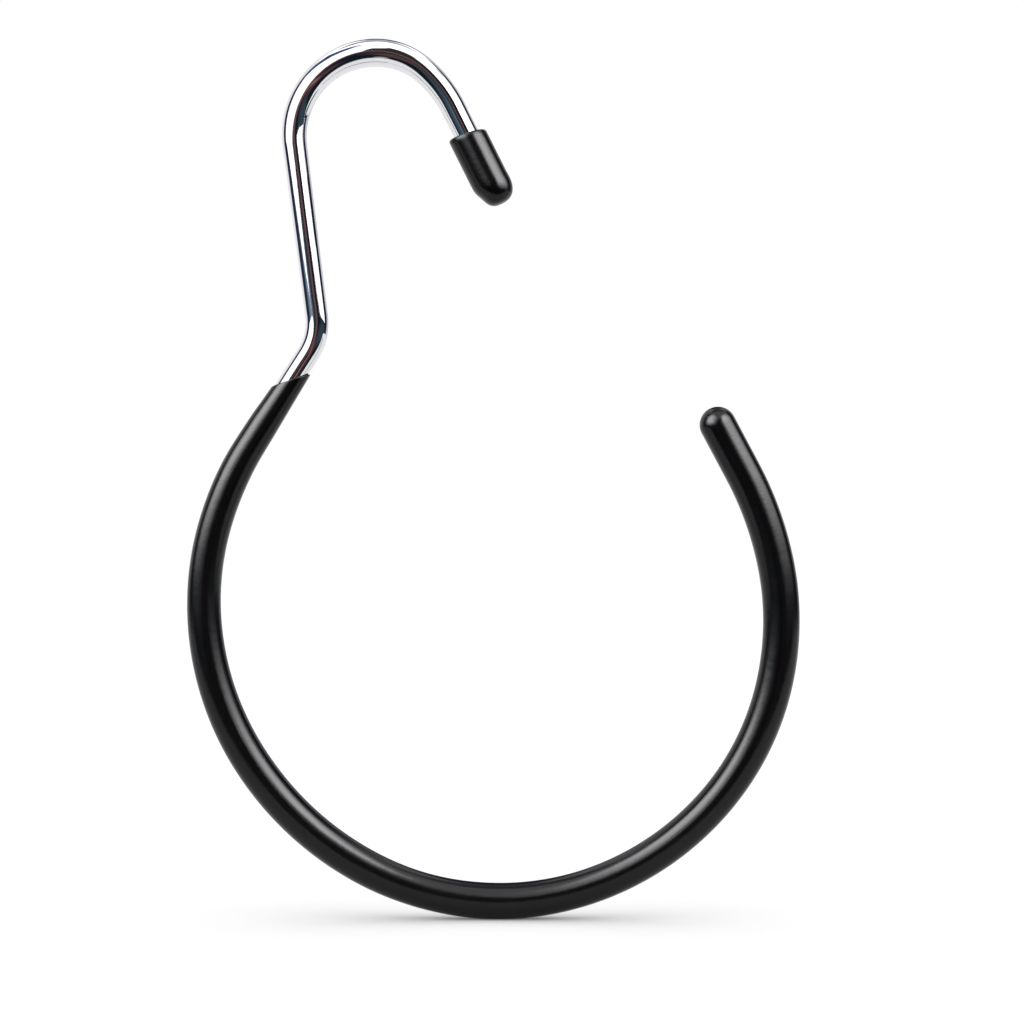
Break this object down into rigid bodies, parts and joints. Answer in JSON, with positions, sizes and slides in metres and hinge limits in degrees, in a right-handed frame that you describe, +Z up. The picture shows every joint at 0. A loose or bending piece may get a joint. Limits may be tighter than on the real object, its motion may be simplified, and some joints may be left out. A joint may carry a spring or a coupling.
{
  "type": "scarf hanger",
  "caption": "Bent chrome-plated rod with a rail hook at the top and an open ring below in a soft black sleeve, for hanging scarves, ties or belts on a closet rail.",
  "frame": {"origin": "the point inside the top of the hook that rests on the rail", "axes": "+Z up, +X from the shank towards the hook's tip and the ring's free end, +Y away from the viewer, square to the plane of the bent rod"},
  "size_m": [0.153, 0.0092, 0.2195],
  "materials": {
    "chrome_rod": "polished",
    "black_sleeve": "satin",
    "black_cap": "satin"
  },
  "bodies": {
    "root": {"bent_rod": "chrome_rod", "ring_sleeve": "black_sleeve", "hook_tip_cap": "black_cap"}
  },
  "joints": []
}
